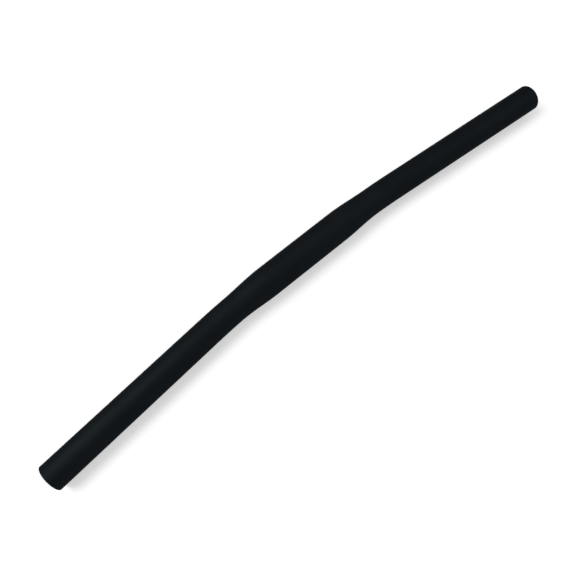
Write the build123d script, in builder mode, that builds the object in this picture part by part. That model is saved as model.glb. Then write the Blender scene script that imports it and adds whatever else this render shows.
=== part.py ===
from build123d import *
import os

# A mountain bike handlebar: one aluminium tube, black all over. In the middle, where the stem
# clamps it, the tube keeps its full diameter. On each side it is swaged down to the diameter that
# grips and brake levers fit, and bent back once in a wide arc. Its ends are cut square and deburred.
# X runs to the rider's right, Y forwards and Z up, so the arms sweep back towards -Y.
# The origin is the centre of the clamp section, on the tube's axis.

# Outside diameters of the tube
clamp_diameter = 25.4
grip_diameter = 22.2

# Walls of the tube, thicker where the stem clamps it
clamp_wall = 2.4
grip_wall = 2.0

# Lengths along the centre line, on each side of the middle
clamp_half_length = 36.0
taper_length = 36.0
straight_grip_length = 151.0

# The bend back. It starts a little way outside the clamp section, so most of the taper lies on it.
bend_setback = 8.0
bend_radius = 580.0
sweep_angle = 5.0

# Edges of the two cut ends: a small round outside, a chamfer in the bore
end_round = 0.4
bore_chamfer = 0.5

# Steps from one ring to the next that the taper is lofted through
taper_steps = 8

# Centre line of the right arm, from the middle of the bar to the tip
with BuildLine() as arm_line:
    middle = Line((0, 0), (clamp_half_length + bend_setback, 0))
    bend = JernArc(middle @ 1, middle % 1, radius=bend_radius, arc_size=-sweep_angle)
    PolarLine(bend @ 1, straight_grip_length, direction=bend % 1)
centre_line = arm_line.wire()


def ring(distance, diameter, wall):
    """The tube's section, square to the centre line at this distance from the middle."""
    square_cut = Plane(
        origin=centre_line.position_at(distance, PositionMode.LENGTH),
        x_dir=(0, 0, 1),
        z_dir=centre_line.tangent_at(distance, PositionMode.LENGTH),
    )
    with BuildSketch(square_cut) as section:
        Circle(diameter / 2)
        Circle(diameter / 2 - wall, mode=Mode.SUBTRACT)
    return section.sketch


def swaged(from_size, to_size, share):
    """A size this share of the way down the taper: an S curve, level where it meets the tube."""
    return from_size + (to_size - from_size) * share**2 * (3 - 2 * share)


taper_end = clamp_half_length + taper_length
taper_rings = []
for step in range(taper_steps + 1):
    share = step / taper_steps
    distance = clamp_half_length + taper_length * share
    diameter = swaged(clamp_diameter, grip_diameter, share)
    wall = swaged(clamp_wall, grip_wall, share)
    taper_rings.append(ring(distance, diameter, wall))

# One arm: the taper, then what is left of the bend and the straight tube for the grip
with BuildPart() as arm:
    loft(taper_rings)
    grip_path = centre_line.trim(taper_end / centre_line.length, 1)
    sweep(ring(taper_end, grip_diameter, grip_wall), path=grip_path)

# The whole bar: the clamp section with an arm on each side, then the edges of its cut ends
with BuildPart() as handlebar:
    extrude(ring(0, clamp_diameter, clamp_wall), amount=clamp_half_length, both=True)
    add(arm.part)
    mirror(arm.part, about=Plane.YZ)
    outer_edges = handlebar.faces().filter_by(GeomType.PLANE).edges().group_by(SortBy.LENGTH)[-1]
    fillet(outer_edges, end_round)
    bore_edges = handlebar.faces().filter_by(GeomType.PLANE).edges().group_by(SortBy.LENGTH)[0]
    chamfer(bore_edges, bore_chamfer)

handlebar.part.label = "handlebar"

os.makedirs("parts", exist_ok=True)
export_step(handlebar.part, "parts/handlebar.step")
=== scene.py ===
import math

import bpy
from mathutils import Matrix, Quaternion, Vector


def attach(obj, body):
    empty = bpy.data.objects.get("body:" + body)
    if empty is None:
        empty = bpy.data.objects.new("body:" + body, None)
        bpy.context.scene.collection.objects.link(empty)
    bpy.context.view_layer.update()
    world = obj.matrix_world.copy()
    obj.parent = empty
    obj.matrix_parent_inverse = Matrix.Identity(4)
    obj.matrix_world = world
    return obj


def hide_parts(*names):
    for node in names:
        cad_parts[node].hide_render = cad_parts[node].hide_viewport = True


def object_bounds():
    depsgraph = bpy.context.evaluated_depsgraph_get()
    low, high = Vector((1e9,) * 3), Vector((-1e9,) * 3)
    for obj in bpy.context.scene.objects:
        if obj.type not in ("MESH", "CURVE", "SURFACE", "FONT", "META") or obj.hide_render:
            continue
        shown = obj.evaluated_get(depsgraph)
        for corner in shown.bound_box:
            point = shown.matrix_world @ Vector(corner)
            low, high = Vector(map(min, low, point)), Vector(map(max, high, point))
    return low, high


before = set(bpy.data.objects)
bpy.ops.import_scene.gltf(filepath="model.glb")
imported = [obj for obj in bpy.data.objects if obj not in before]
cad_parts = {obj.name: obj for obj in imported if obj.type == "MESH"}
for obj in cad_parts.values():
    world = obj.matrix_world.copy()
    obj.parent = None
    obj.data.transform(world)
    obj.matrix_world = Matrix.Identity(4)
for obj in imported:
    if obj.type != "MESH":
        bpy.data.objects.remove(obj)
cad_low, cad_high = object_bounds()

# Handlebar
# It is one aluminium tube. The middle, where the stem clamps it, keeps the full diameter. Each arm
# is swaged down to the diameter that grips fit, and bent back once in a wide arc. The ends are cut
# square and deburred, and then the whole bar is bead-blasted and anodised black.
clamp_radius = 0.0127
grip_radius = 0.0111
clamp_wall = 0.0024
grip_wall = 0.0020
clamp_half_length = 0.036
taper_length = 0.036
straight_grip_length = 0.151
bend_setback = 0.008
bend_radius = 0.580
sweep_angle = math.radians(5)
end_round = 0.0004
bore_chamfer = 0.0005

clamp_bore_radius = clamp_radius - clamp_wall
grip_bore_radius = grip_radius - grip_wall
taper_end = clamp_half_length + taper_length
bend_start = clamp_half_length + bend_setback
bend_end = bend_start + bend_radius * sweep_angle
tip = bend_end + straight_grip_length

# How finely the tube is drawn: corners in a ring, and rings along the taper, the rest of the bend
# and the rounded edge
ring_corners = 128
taper_steps = 36
bend_steps = 10
edge_steps = 5


def turn_at(distance):
    """How far the tube has turned back from +X, this far along it from the middle of the bar."""
    return min(max(distance - bend_start, 0) / bend_radius, sweep_angle)


def centre_at(distance):
    """The point on the tube's centre line, this far along it from the middle of the bar."""
    turn = turn_at(distance)
    centre = Vector((min(distance, bend_start), 0, 0))
    centre += bend_radius * Vector((math.sin(turn), math.cos(turn) - 1, 0))
    centre += max(distance - bend_end, 0) * Vector((math.cos(turn), -math.sin(turn), 0))
    return centre


def swaged(clamp_size, grip_size, distance):
    """The tube's size here: an S curve down the taper, level at both ends."""
    share = min(max((distance - clamp_half_length) / taper_length, 0), 1)
    return clamp_size + (grip_size - clamp_size) * share**2 * (3 - 2 * share)


# Distances along the arm at which the tube gets a ring. The straight tube beyond them needs none.
stations = [0, clamp_half_length / 2]
for step in range(taper_steps + 1):
    stations.append(clamp_half_length + taper_length * step / taper_steps)
for step in range(1, bend_steps + 1):
    stations.append(taper_end + (bend_end - taper_end) * step / bend_steps)

# The rings in the order they are drawn: outside to the tip, round its edge, and back up the bore
rings = [(distance, swaged(clamp_radius, grip_radius, distance)) for distance in stations]
for step in range(edge_steps + 1):
    corner = math.radians(90) * step / edge_steps
    back_from_tip = end_round * (1 - math.sin(corner))
    rings.append((tip - back_from_tip, grip_radius - end_round * (1 - math.cos(corner))))
rings.append((tip, grip_bore_radius + bore_chamfer))
rings.append((tip - bore_chamfer, grip_bore_radius))
for distance in reversed(stations):
    rings.append((distance, swaged(clamp_bore_radius, grip_bore_radius, distance)))

bpy.ops.object.select_all(action="DESELECT")
bpy.ops.mesh.primitive_circle_add(
    vertices=ring_corners, radius=clamp_radius, rotation=(0, math.radians(90), 0)
)
handlebar = bpy.context.object
handlebar.name = handlebar.data.name = "handlebar_tube"
bpy.ops.object.transform_apply(location=True, rotation=True, scale=True)
bpy.ops.object.mode_set(mode="EDIT")
bpy.ops.mesh.select_all(action="SELECT")
for (here, radius), (there, next_radius) in zip(rings, rings[1:]):
    centre = centre_at(there)
    bpy.ops.mesh.extrude_region_move()
    bpy.ops.transform.translate(value=centre - centre_at(here))
    bpy.ops.transform.rotate(
        value=turn_at(there) - turn_at(here), orient_axis="Z", center_override=centre
    )
    bpy.ops.transform.resize(value=(next_radius / radius,) * 3, center_override=centre)
bpy.ops.object.mode_set(mode="OBJECT")

# The other arm is the mirror image, joined on at the middle of the clamp section
other_arm = handlebar.modifiers.new("other_arm", "MIRROR")
other_arm.merge_threshold = 0.00001
bpy.ops.object.modifier_apply(modifier="other_arm")
bpy.ops.object.mode_set(mode="EDIT")
bpy.ops.mesh.select_all(action="SELECT")
bpy.ops.mesh.normals_make_consistent(inside=False)
bpy.ops.object.mode_set(mode="OBJECT")
bpy.ops.object.shade_smooth_by_angle(angle=math.radians(30))


def before_bends(point):
    """Where this point of the tube was before the arms were bent back."""
    side = math.copysign(1, point.x)
    right = Vector((abs(point.x), point.y, point.z))
    turn = min(max(math.atan2(right.x - bend_start, right.y + bend_radius), 0), sweep_angle)
    distance = bend_start + bend_radius * turn
    offset = right - centre_at(distance)
    offset.rotate(Quaternion((0, 0, 1), turn))
    return Vector((side * (distance + offset.x), offset.y, offset.z))


# The finish follows the tube round its bends
straight_tube = handlebar.data.attributes.new("straight_tube", "FLOAT_VECTOR", "POINT")
for vertex, straight in zip(handlebar.data.vertices, straight_tube.data):
    straight.vector = before_bends(vertex.co)

clouds_per_metre = 45
dye_unevenness = 0.07
lines_per_metre_along = 12
lines_per_metre_across = 2000
sheen_unevenness = 0.1
pits_per_metre = 4000


def black_anodise(name, black, matt, pit_depth, line_depth):
    """Black anodising, with pits from blasting and the lines that drawing left along the tube."""
    finish = bpy.data.materials.new(name)
    finish.use_nodes = True
    nodes, links = finish.node_tree.nodes, finish.node_tree.links
    surface = nodes["Principled BSDF"]

    # The metal shines dimly through the dyed layer, and not much more at a glancing angle
    surface.inputs["Metallic"].default_value = 0.65
    surface.inputs["Specular IOR Level"].default_value = 0
    surface.inputs["Specular Tint"].default_value = (0.5, 0.5, 0.5, 1)
    tube = nodes.new("ShaderNodeAttribute")
    tube.attribute_name = "straight_tube"

    # The dye took a little unevenly, in soft clouds
    clouds = nodes.new("ShaderNodeTexNoise")
    clouds.inputs["Scale"].default_value = clouds_per_metre
    clouds.inputs["Detail"].default_value = 5
    links.new(tube.outputs["Vector"], clouds.inputs["Vector"])
    dye = nodes.new("ShaderNodeValToRGB")
    dye.color_ramp.elements[0].position = 0.3
    dye.color_ramp.elements[0].color = (*((1 - dye_unevenness) * part for part in black), 1)
    dye.color_ramp.elements[1].position = 0.7
    dye.color_ramp.elements[1].color = (*((1 + dye_unevenness) * part for part in black), 1)
    links.new(clouds.outputs["Fac"], dye.inputs["Fac"])
    links.new(dye.outputs["Color"], surface.inputs["Base Color"])

    # Drawing lines run along the tube about half a millimetre apart, some a little glossier
    drawn = nodes.new("ShaderNodeMapping")
    drawn.inputs["Scale"].default_value = (
        lines_per_metre_along, lines_per_metre_across, lines_per_metre_across
    )
    links.new(tube.outputs["Vector"], drawn.inputs["Vector"])
    lines = nodes.new("ShaderNodeTexNoise")
    lines.inputs["Scale"].default_value = 1
    lines.inputs["Detail"].default_value = 3
    links.new(drawn.outputs["Vector"], lines.inputs["Vector"])
    sheen = nodes.new("ShaderNodeMapRange")
    sheen.inputs["To Min"].default_value = matt - sheen_unevenness
    sheen.inputs["To Max"].default_value = matt + sheen_unevenness
    links.new(lines.outputs["Fac"], sheen.inputs["Value"])
    links.new(sheen.outputs["Result"], surface.inputs["Roughness"])
    grooves = nodes.new("ShaderNodeBump")
    grooves.inputs["Distance"].default_value = line_depth
    links.new(lines.outputs["Fac"], grooves.inputs["Height"])

    # Round pits from the blasting beads, a quarter of a millimetre across
    beads = nodes.new("ShaderNodeTexVoronoi")
    beads.feature = "SMOOTH_F1"
    beads.inputs["Scale"].default_value = pits_per_metre
    links.new(tube.outputs["Vector"], beads.inputs["Vector"])
    pits = nodes.new("ShaderNodeBump")
    pits.inputs["Distance"].default_value = pit_depth
    links.new(beads.outputs["Distance"], pits.inputs["Height"])
    links.new(grooves.outputs["Normal"], pits.inputs["Normal"])
    links.new(pits.outputs["Normal"], surface.inputs["Normal"])
    return finish


# The beads don't reach into the bore, so there the drawing lines still show
blasted_black = black_anodise(
    "blasted_black",
    black=(0.0096, 0.0122, 0.0142),
    matt=0.57,
    pit_depth=0.0001,
    line_depth=0.000004,
)
drawn_black = black_anodise(
    "drawn_black",
    black=(0.012, 0.015, 0.016),
    matt=0.5,
    pit_depth=0,
    line_depth=0.00002,
)
handlebar.data.materials.append(blasted_black)
handlebar.data.materials.append(drawn_black)
for face in handlebar.data.polygons:
    straight = before_bends(face.center)
    bore_radius = swaged(clamp_bore_radius, grip_bore_radius, abs(straight.x))
    if math.hypot(straight.y, straight.z) < bore_radius + bore_chamfer:
        face.material_index = 1

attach(handlebar, "root")
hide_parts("handlebar")

# Floor
# The bar lies on a plain floor of pale grey. The camera and reflections see the floor brighter than
# the lamps make it, so that it is pure white there, and the bar's soft shadow on it is faint.
floor_size = 40
floor_grey = 0.6
seen_brighter_by = 0.46

bpy.ops.object.select_all(action="DESELECT")
bpy.ops.mesh.primitive_plane_add(size=floor_size, location=(0, 0, cad_low.z))
floor = bpy.context.object
floor.name = "floor"
pale_floor = bpy.data.materials.new("pale_floor")
pale_floor.use_nodes = True
nodes, links = pale_floor.node_tree.nodes, pale_floor.node_tree.links
surface = nodes["Principled BSDF"]
surface.inputs["Base Color"].default_value = (floor_grey, floor_grey, floor_grey, 1)
surface.inputs["Roughness"].default_value = 1
surface.inputs["Specular IOR Level"].default_value = 0
surface.inputs["Emission Color"].default_value = (1, 1, 1, 1)
ray = nodes.new("ShaderNodeLightPath")
seen_or_glossy = nodes.new("ShaderNodeMath")
seen_or_glossy.operation = "MAXIMUM"
links.new(ray.outputs["Is Camera Ray"], seen_or_glossy.inputs[0])
links.new(ray.outputs["Is Glossy Ray"], seen_or_glossy.inputs[1])
seen = nodes.new("ShaderNodeMath")
seen.operation = "MAXIMUM"
links.new(seen_or_glossy.outputs["Value"], seen.inputs[0])
links.new(ray.outputs["Is Transmission Ray"], seen.inputs[1])
lift = nodes.new("ShaderNodeMath")
lift.operation = "MULTIPLY"
lift.inputs[1].default_value = seen_brighter_by
links.new(seen.outputs["Value"], lift.inputs[0])
links.new(lift.outputs["Value"], surface.inputs["Emission Strength"])
floor.data.materials.append(pale_floor)

# Light
# The room is even and pale. A large softbox hangs high up, to the bar's left and in front of it. A
# weaker one of the same size stands lower, to its right and a little behind it.
softbox_size = 1.75
room_brightness = 0.4


def softbox(name, place, watts):
    """A square lamp of this power, turned to the middle of the bar and not seen itself."""
    bpy.ops.object.light_add(type="AREA", location=place)
    lamp = bpy.context.object
    lamp.name = name
    lamp.data.size = softbox_size
    lamp.data.energy = watts
    lamp.rotation_euler = (-lamp.location).to_track_quat("-Z", "Y").to_euler()
    lamp.visible_camera = False


softbox("key", place=(-1.40, 1.00, 2.75), watts=74)
softbox("fill", place=(2.40, -1.10, 1.90), watts=20)
room = bpy.data.worlds.new("room")
bpy.context.scene.world = room
room.use_nodes = True
room_light = room.node_tree.nodes["Background"]
room_light.inputs["Color"].default_value = (1, 1, 1, 1)
room_light.inputs["Strength"].default_value = room_brightness
bpy.context.scene.view_settings.view_transform = "Standard"

# Camera
# It looks steeply down at the bar from close by, from behind its left arm, as the photograph does.
# It is rolled a little, so that the bar runs across the picture from corner to corner.
camera_place = Vector((-0.1047, -0.1482, 0.3751))
camera_aim = Vector((-0.0282, -0.0147, 0))
camera_roll = math.radians(-10.58)

bpy.ops.object.camera_add(location=camera_place)
camera = bpy.context.object
camera.name = "camera"
camera.data.sensor_width = 36
camera.data.lens = 32.58
upright = (camera_aim - camera_place).to_track_quat("-Z", "Y")
camera.rotation_euler = (upright @ Quaternion((0, 0, 1), camera_roll)).to_euler()
bpy.context.scene.camera = camera
